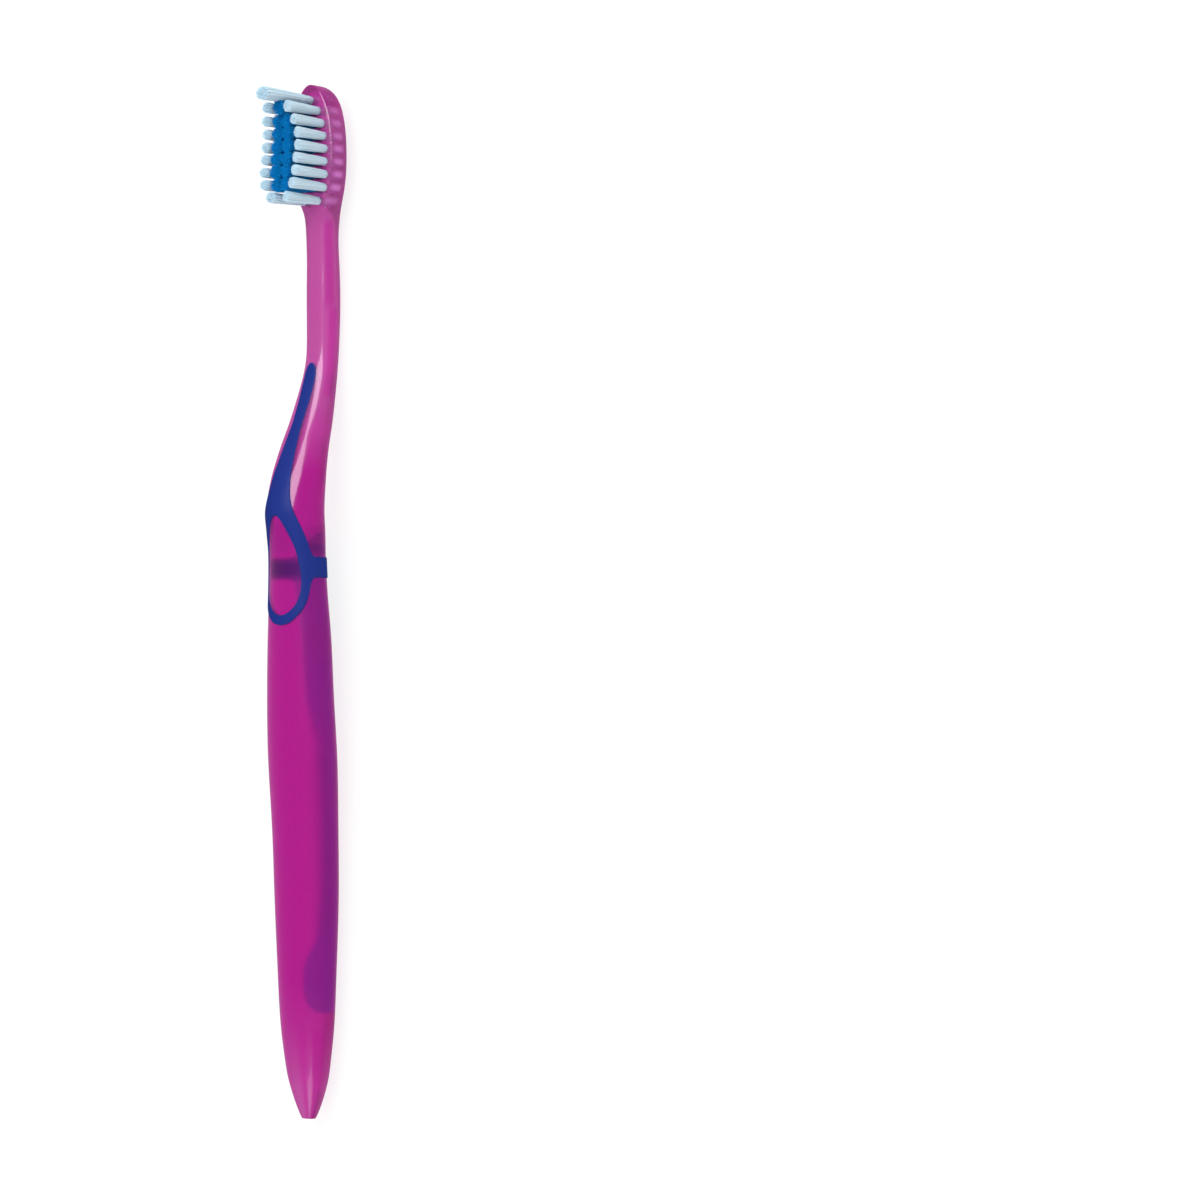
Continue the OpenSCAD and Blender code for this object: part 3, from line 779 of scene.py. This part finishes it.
class TOOTHBRUSH_OT_grip(bpy.types.Operator):
    """Wrap the soft grip round the handle"""

    bl_idname = "toothbrush.grip"
    bl_label = "Soft Grip"

    SIDES = 144
    CUTS = (16, 15)
    # Radius of the tube, and the length of one degree on it
    MEAN_RADIUS = 6.2 * MM
    DEGREE = math.radians(1) * MEAN_RADIUS
    # How far the tube runs past the outline, as a share of the body length
    OVERRUN = 0.012
    # Edges sharper than this many degrees are bevelled
    SHARP = 50
    # Painted light: the rubber is painted a paler blue towards the back. It sets in at this angle from
    # the front, over this many degrees. The underside of the rubber, which shows through the plastic,
    # takes all of it, and the outer side this share.
    SIDE_ANGLE, SIDE_BLUR = 95, 55
    OUTER_SHARE = 0.3
    # Rounds in which the border's vertices spread out evenly, in which they are drawn onto the
    # outline, and in which the vertices inside it are smoothed
    EVEN_ROUNDS, SNAP_ROUNDS, SMOOTH_ROUNDS = 12, 4, 4
    # How clear of the outline the vertices inside it stay, so that its bevelled rim has room
    RIM = 0.34 * MM
    # Vertices closer than this become one
    MERGE = 0.05 * MM

    def execute(self, context):
        grip = settings("grip")
        self.skin = Skin(settings("sizes"), grip.proud)
        body = self.skin.body
        self.low = (PAD_OUTLINE[0][0] - self.OVERRUN) * body
        self.high = (FRONT_OUTLINE[-1][0] + self.OVERRUN) * body
        piece = self.add_tube()
        self.trim(piece, grip)
        self.wrap(piece, grip)
        outer = len(piece.data.vertices)
        apply(piece, "SOLIDIFY", thickness=grip.depth + grip.proud, offset=-1)
        self.calm(piece, outer)
        apply(piece, "BEVEL", width=grip.edge, segments=3, limit_method="ANGLE",
              angle_limit=math.radians(self.SHARP), use_clamp_overlap=False)
        smooth(piece, self.SHARP)
        hand_over(piece, soft_rubber(), "soft_rubber", "soft_grip")
        return {"FINISHED"}

    def add_tube(self):
        """An open tube along X, cut lengthwise into short faces."""
        deselect()
        bpy.ops.mesh.primitive_cylinder_add(
            vertices=self.SIDES, radius=self.MEAN_RADIUS, depth=self.high - self.low,
            end_fill_type="NOTHING", location=(0, 0, 0), rotation=(0, math.pi / 2, 0))
        bpy.ops.object.transform_apply(location=True, rotation=True, scale=True)
        piece = start("soft_grip_cover")
        bpy.ops.mesh.select_mode(type="EDGE")
        for cuts in self.CUTS:
            mesh = bmesh.from_edit_mesh(piece.data)
            for edge in mesh.edges:
                a, b = (v.co for v in edge.verts)
                edge.select_set(abs(a.x - b.x) > 0.001 * MM)
            bmesh.update_edit_mesh(piece.data)
            bpy.ops.mesh.subdivide(number_cuts=cuts - 1)
        bpy.ops.object.mode_set(mode="OBJECT")
        return piece

    def unrolled(self, points):
        """Station and angle from the front, in degrees, of points on the tube."""
        points = np.asarray(points, float)
        station = points[:, 0] + (self.low + self.high) / 2
        angle = np.degrees(np.arctan2(points[:, 2], points[:, 1])) - FRONT
        return station, (angle + 180) % 360 - 180

    def inside(self, station, angle, grip):
        """How far each point lies inside the grip's outline, in metres along the skin."""
        body = self.skin.body
        front, window, pad = (
            outline_depth(station, turned * self.DEGREE, outline, body, self.DEGREE)
            for turned, outline in ((angle, FRONT_OUTLINE), (angle, WINDOW_OUTLINE),
                                    ((angle + 360) % 360 - 180, PAD_OUTLINE)))
        band = grip.band_w / 2 - np.abs(station - BAND_PLACE_SHARE * body)
        depth = smooth_max(smooth_max(front, band, grip.fillet), pad, grip.fillet)
        return -smooth_max(-depth, window, grip.fillet / 3)

    def trim(self, piece, grip):
        """Cuts the tube to the grip's outline and draws its border onto that outline."""
        pick(piece)
        middles = np.array([f.center for f in piece.data.polygons])
        keep = self.inside(*self.unrolled(middles), grip) > 0
        bpy.ops.object.mode_set(mode="EDIT")
        bpy.ops.mesh.select_mode(type="FACE")
        mesh = bmesh.from_edit_mesh(piece.data)
        for face, kept in zip(mesh.faces, keep):
            face.select_set(not kept)
        bmesh.update_edit_mesh(piece.data)
        bpy.ops.mesh.delete(type="FACE")
        bpy.ops.object.mode_set(mode="OBJECT")
        self.snap(piece, grip)

    def snap(self, piece, grip):
        """Draws the border onto the outline and keeps the next vertices clear of its rounded rim."""
        mesh = bmesh.new()
        mesh.from_mesh(piece.data)
        border = [v for v in mesh.verts if v.is_boundary]
        inner = [v for v in mesh.verts if not v.is_boundary]
        station, angle = self.unrolled([v.co for v in border])
        order = {v: i for i, v in enumerate(border)}
        beside = np.array([[order[e.other_vert(v)] for e in v.link_edges if e.is_boundary][:2]
                           for v in border]).T
        for turn in range(self.EVEN_ROUNDS + self.SNAP_ROUNDS):
            if turn < self.EVEN_ROUNDS:
                station = 0.5 * station + 0.25 * (station[beside[0]] + station[beside[1]])
                bends = [(angle[row] - angle + 180) % 360 - 180 for row in beside]
                angle = (angle + 0.25 * (bends[0] + bends[1]) + 180) % 360 - 180
            station, angle = self.slide(station, angle, grip, lambda depth: 0)
        self.place(border, station, angle)
        for _ in range(self.SMOOTH_ROUNDS):
            bmesh.ops.smooth_vert(mesh, verts=inner, factor=0.5, use_axis_x=True, use_axis_y=True,
                                  use_axis_z=True)
        station, angle = self.unrolled([v.co for v in inner])
        for _ in range(self.SNAP_ROUNDS):
            station, angle = self.slide(station, angle, grip, lambda depth: np.maximum(depth, self.RIM))
        self.place(inner, station, angle)
        bmesh.ops.remove_doubles(mesh, verts=mesh.verts, dist=self.MERGE)
        mesh.to_mesh(piece.data)
        mesh.free()

    def slide(self, station, angle, grip, aim, step=0.02 * MM, least=0.2):
        """Moves points across the outline towards the depth that is aimed at. Where the depth hardly
        changes, a least slope keeps the move short."""
        depth = self.inside(station, angle, grip)
        along = (self.inside(station + step, angle, grip) - depth) / step
        across = (self.inside(station, angle + step / self.DEGREE, grip) - depth) / step
        way = (aim(depth) - depth) / np.maximum(along**2 + across**2, least)
        return station + way * along, angle + way * across / self.DEGREE

    def place(self, vertices, station, angle):
        middle = (self.low + self.high) / 2
        for vertex, s, a in zip(vertices, station, angle):
            turn = math.radians(a + FRONT)
            vertex.co = (s - middle, self.MEAN_RADIUS * math.cos(turn), self.MEAN_RADIUS * math.sin(turn))

    def wrap(self, piece, grip):
        """Lays the trimmed sheet on the skin of the handle."""
        station, angle = self.unrolled([v.co for v in piece.data.vertices])
        for vertex, s, a in zip(piece.data.vertices, station, angle):
            vertex.co = self.skin.point(self.skin.at(s), a + FRONT, grip.proud)
            vertex.co.z = max(vertex.co.z, CAD_LOW.z)
        # Painted light: the behind note, read as a paler blue towards the back.
        put_note(piece, "behind", np.clip((np.abs(angle) - self.SIDE_ANGLE) / self.SIDE_BLUR, 0, 1))

    def calm(self, piece, outer):
        """Turns the painted paler blue of the back down on the outer vertices, which come first in the mesh.
        """
        attribute = piece.data.attributes["behind"]
        values = np.zeros(len(piece.data.vertices), np.float32)
        attribute.data.foreach_get("value", values)
        values[:outer] *= self.OUTER_SHARE
        attribute.data.foreach_set("value", values)


def smooth_max(a, b, radius):
    """The larger of two depths, with a fillet where they meet."""
    blend = np.clip(0.5 + (a - b) / (2 * radius), 0, 1)
    return b + (a - b) * blend + radius * blend * (1 - blend)


def outline_depth(x, y, outline, length, scale):
    """Signed depth of points inside an outline that is mirrored about y = 0."""
    side = curve_through([(share * length, half * scale) for share, half in outline], 4)
    loop = np.array(side + [(px, -py) for px, py in reversed(side)])
    points = np.stack([x, y], axis=1)
    nearest = np.full(len(points), np.inf)
    within = np.zeros(len(points), bool)
    for a, b in zip(loop, np.roll(loop, -1, axis=0)):
        run = b - a
        length_2 = max(float(run @ run), 1e-18)
        f = np.clip(((points - a) @ run) / length_2, 0, 1)
        nearest = np.minimum(nearest, np.hypot(*(points - a - f[:, None] * run).T))
        crosses = (a[1] > points[:, 1]) != (b[1] > points[:, 1])
        if crosses.any() and b[1] != a[1]:
            at = a[0] + (points[:, 1] - a[1]) * run[0] / run[1]
            within ^= crosses & (points[:, 0] < at)
    return np.where(within, nearest, -nearest)


def curve_through(points, steps):
    """Points on a smooth curve through the given ones."""
    made = []
    for i in range(len(points) - 1):
        p0, p1, p2, p3 = (np.array(points[max(0, min(k, len(points) - 1))]) for k in range(i - 1, i + 3))
        for j in range(steps):
            t = j / steps
            made.append(tuple(0.5 * (2 * p1 + (p2 - p0) * t + (2 * p0 - 5 * p1 + 4 * p2 - p3) * t**2
                                     + (3 * p1 - p0 - 3 * p2 + p3) * t**3)))
    made.append(tuple(points[-1]))
    return made


def tuft_nodes():
    return sorted(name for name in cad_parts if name.startswith("tuft"))


def corners_of(node):
    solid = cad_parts[node]
    return np.array([solid.matrix_world @ v.co for v in solid.data.vertices])


class Root:
    """The bottom of a tuft in its hole: its height, its middle, and its radii along and across."""

    def __init__(self, corners):
        self.low = corners[:, 2].min()
        bottom = corners[corners[:, 2] < self.low + 0.01 * MM][:, :2]
        self.middle = bottom.mean(axis=0)
        self.radii = np.ptp(bottom, axis=0) / 2


class TOOTHBRUSH_OT_tufts(bpy.types.Operator):
    """Fill every tuft hole with trimmed filaments"""

    bl_idname = "toothbrush.tufts"
    bl_label = "Tufts"

    SIDES = 6
    GOLDEN_TURN = math.pi * (3 - math.sqrt(5))
    # How far filaments stray from their place, in radians round the tuft and at their tips
    TURN_JITTER, TIP_JITTER = 0.2, 0.05 * MM
    # How far the trim is ragged, and how much lower it is at the rim of a tuft than in its middle
    RAGGED, DOME = 0.13 * MM, 0.2 * MM
    # How much the trim slopes up outwards, and how soon on its way up a tuft spreads
    TRIM_SLOPE = 0.35
    SPREAD_POWER = 0.8
    # How far above the bottom of the hole the filaments start
    SEAT = 0.05 * MM
    # Tufts as near to the middle plane as this are trimmed level
    LEVEL_ZONE = 0.1 * MM
    # Rings of a filament, as shares of its length and of its radius. The one at FACE_LEVEL lies
    # where it leaves the hole.
    FACE_LEVEL = 0.25
    LEVELS = (0, 0.25, 0.4, 0.6, 0.8, 0.955, 0.988, 1)
    WIDTHS = (1, 1, 1, 1, 1, 1, 0.8, 0.35)
    SHARP = 50
    # Sides of a core, its width as a share of its tuft's, how far it ends below the tips, and its rings
    CORE_SIDES, CORE_SHARE, CORE_BELOW = 20, 0.93, 1.15 * MM
    CORE_LEVELS = (0, 0.25, 0.5, 0.75, 1)

    def execute(self, context):
        tufts = settings("tufts")
        white = filament("white_nylon", tufts.white, tufts.white_tip)
        blue = filament("blue_nylon", tufts.blue, tufts.blue_tip)
        strand = self.model_strand(tufts.filament_d / 2)
        for count, node in enumerate(tuft_nodes()):
            is_blue = "inner" in node or "blue" in node
            dice = random.Random(100 + count)
            flare = tufts.blue_flare if is_blue else tufts.white_flare
            piece = self.fill(node, strand, tufts, flare, dice)
            smooth(piece, self.SHARP)
            hand_over(piece, blue if is_blue else white, "blue_bristle" if is_blue else "white_bristle", node)
        bpy.data.objects.remove(strand)
        return {"FINISHED"}

    def model_strand(self, radius):
        """One filament of height 1, rounded at its trimmed end."""
        turns = [2 * math.pi * i / self.SIDES for i in range(self.SIDES)]
        strand = loft("strand", [
            [Vector((radius * width * math.cos(turn), radius * width * math.sin(turn), level))
             for turn in turns]
            for level, width in zip(self.LEVELS, self.WIDTHS)])
        bpy.ops.mesh.edge_face_add()
        bpy.ops.object.mode_set(mode="OBJECT")
        face_outwards(strand)
        return strand

    def fill(self, node, strand, tufts, flare, dice):
        """Packs filaments in the root of a tuft and spreads them to the reach of its strands."""
        corners = corners_of(node)
        root = Root(corners)
        low, high = root.low, corners[:, 2].max()
        face = low + tufts.hole_depth
        tips = corners[corners[:, 2] > (low + high) / 2][:, :2]
        middle, tip_middle = root.middle, tips.mean(axis=0)
        root_r = root.radii - tufts.filament_d / 2
        tip_r = (np.ptp(tips, axis=0) / 2 - tufts.filament_d / 2) * flare
        count = round(tufts.count * root_r[1] / root_r[0])
        side = 0 if abs(middle[1]) < self.LEVEL_ZONE else math.copysign(1, middle[1])
        shape = np.array([v.co for v in strand.data.vertices])
        faces = [tuple(p.vertices) for p in strand.data.polygons]
        level = shape[:, 2]
        below = np.clip(level / self.FACE_LEVEL, 0, 1)
        above = np.clip((level - self.FACE_LEVEL) / (1 - self.FACE_LEVEL), 0, 1)
        spread = above**self.SPREAD_POWER
        points, polygons, shades, rises = [], [], [], []
        for i in range(count):
            r = math.sqrt((i + 0.5) / count)
            turn = i * self.GOLDEN_TURN + dice.random() * self.TURN_JITTER
            ray = np.array([r * math.cos(turn), r * math.sin(turn)])
            start_at = middle + ray * root_r
            end_at = tip_middle + ray * tip_r + [dice.gauss(0, self.TIP_JITTER) for _ in range(2)]
            trim = self.TRIM_SLOPE * side * (ray[1] - side) * root_r[1]
            top = high + min(trim, 0) - self.DOME * r**3 - abs(dice.gauss(0, self.RAGGED))
            moved = np.empty_like(shape)
            for axis in (0, 1):
                moved[:, axis] = shape[:, axis] + start_at[axis] + spread * (end_at[axis] - start_at[axis])
            moved[:, 2] = low + self.SEAT + below * (face - low - self.SEAT) + above * (top - face)
            polygons += [tuple(len(points) * len(shape) + k for k in polygon) for polygon in faces]
            points.append(moved)
            shades.append(np.full(len(shape), dice.random()))
            rises.append(level)
        core = self.core(middle, tip_middle, root_r, tip_r, (low, face, high - self.CORE_BELOW))
        polygons += [tuple(len(points) * len(shape) + k for k in polygon) for polygon in self.core_faces()]
        points.append(core)
        shades.append(np.full(len(core), 0.5))
        rises.append(np.zeros(len(core)))
        mesh = bpy.data.meshes.new(node + "_filaments")
        mesh.from_pydata(np.concatenate(points).tolist(), [], polygons)
        piece = bpy.data.objects.new(node + "_filaments", mesh)
        bpy.context.scene.collection.objects.link(piece)
        put_note(piece, "strand", np.concatenate(shades))
        put_note(piece, "rise", np.concatenate(rises))
        return piece

    def core(self, middle, tip_middle, root_r, tip_r, heights):
        """The filaments deep in a tuft, as one tapered core behind those that show."""
        low, face, high = heights
        turns = np.arange(self.CORE_SIDES) * 2 * math.pi / self.CORE_SIDES
        rays = self.CORE_SHARE * np.stack([np.cos(turns), np.sin(turns)], axis=1)
        rings = [(middle + rays * root_r, low + self.SEAT)]
        for f in self.CORE_LEVELS:
            spread = f**self.SPREAD_POWER
            centre = middle + spread * (tip_middle - middle)
            reach = root_r + spread * (tip_r - root_r)
            rings.append((centre + rays * reach, face + f * (high - face)))
        return np.concatenate([np.column_stack([ring, np.full(len(ring), z)]) for ring, z in rings])

    def core_faces(self):
        n, rings = self.CORE_SIDES, len(self.CORE_LEVELS) + 1
        sides = [(r * n + i, r * n + (i + 1) % n, (r + 1) * n + (i + 1) % n, (r + 1) * n + i)
                 for r in range(rings - 1) for i in range(n)]
        return sides + [tuple(reversed(range(n))), tuple((rings - 1) * n + i for i in range(n))]


class TOOTHBRUSH_OT_anchors(bpy.types.Operator):
    """Finish the wire plates that pin the tufts"""

    bl_idname = "toothbrush.anchors"
    bl_label = "Anchor Wires"

    def execute(self, context):
        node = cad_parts["anchor_wires"]
        node.data.materials.clear()
        node.data.materials.append(brass_wire())
        return {"FINISHED"}


STEPS = (TOOTHBRUSH_OT_stage, TOOTHBRUSH_OT_handle, TOOTHBRUSH_OT_grip, TOOTHBRUSH_OT_tufts,
         TOOTHBRUSH_OT_anchors)
GROUPS = {"sizes": BrushSizes, "grip": GripSettings, "tufts": TuftSettings, "plastic": PlasticSettings,
          "stage": StageSettings}


class TOOTHBRUSH_PT_panel(bpy.types.Panel):
    """Steps of the toothbrush, in order"""

    bl_label = "Toothbrush"
    bl_idname = "TOOTHBRUSH_PT_panel"
    bl_space_type = "VIEW_3D"
    bl_region_type = "UI"
    bl_category = "Toothbrush"

    def draw(self, context):
        for step in STEPS:
            self.layout.operator(step.bl_idname)
        for name, group in GROUPS.items():
            box = self.layout.box()
            for key in group.__annotations__:
                box.prop(settings(name), key)


def register():
    for group in GROUPS.values():
        bpy.utils.register_class(group)
    for name, group in GROUPS.items():
        setattr(bpy.types.Scene, "toothbrush_" + name, PointerProperty(type=group))
    for step in STEPS:
        bpy.utils.register_class(step)
    bpy.utils.register_class(TOOTHBRUSH_PT_panel)


def unregister():
    bpy.utils.unregister_class(TOOTHBRUSH_PT_panel)
    for step in reversed(STEPS):
        bpy.utils.unregister_class(step)
    for name, group in reversed(GROUPS.items()):
        delattr(bpy.types.Scene, "toothbrush_" + name)
        bpy.utils.unregister_class(group)


def main():
    register()
    bpy.ops.toothbrush.stage()
    bpy.ops.toothbrush.handle()
    bpy.ops.toothbrush.grip()
    bpy.ops.toothbrush.tufts()
    bpy.ops.toothbrush.anchors()


if __name__ == "__main__":
    main()
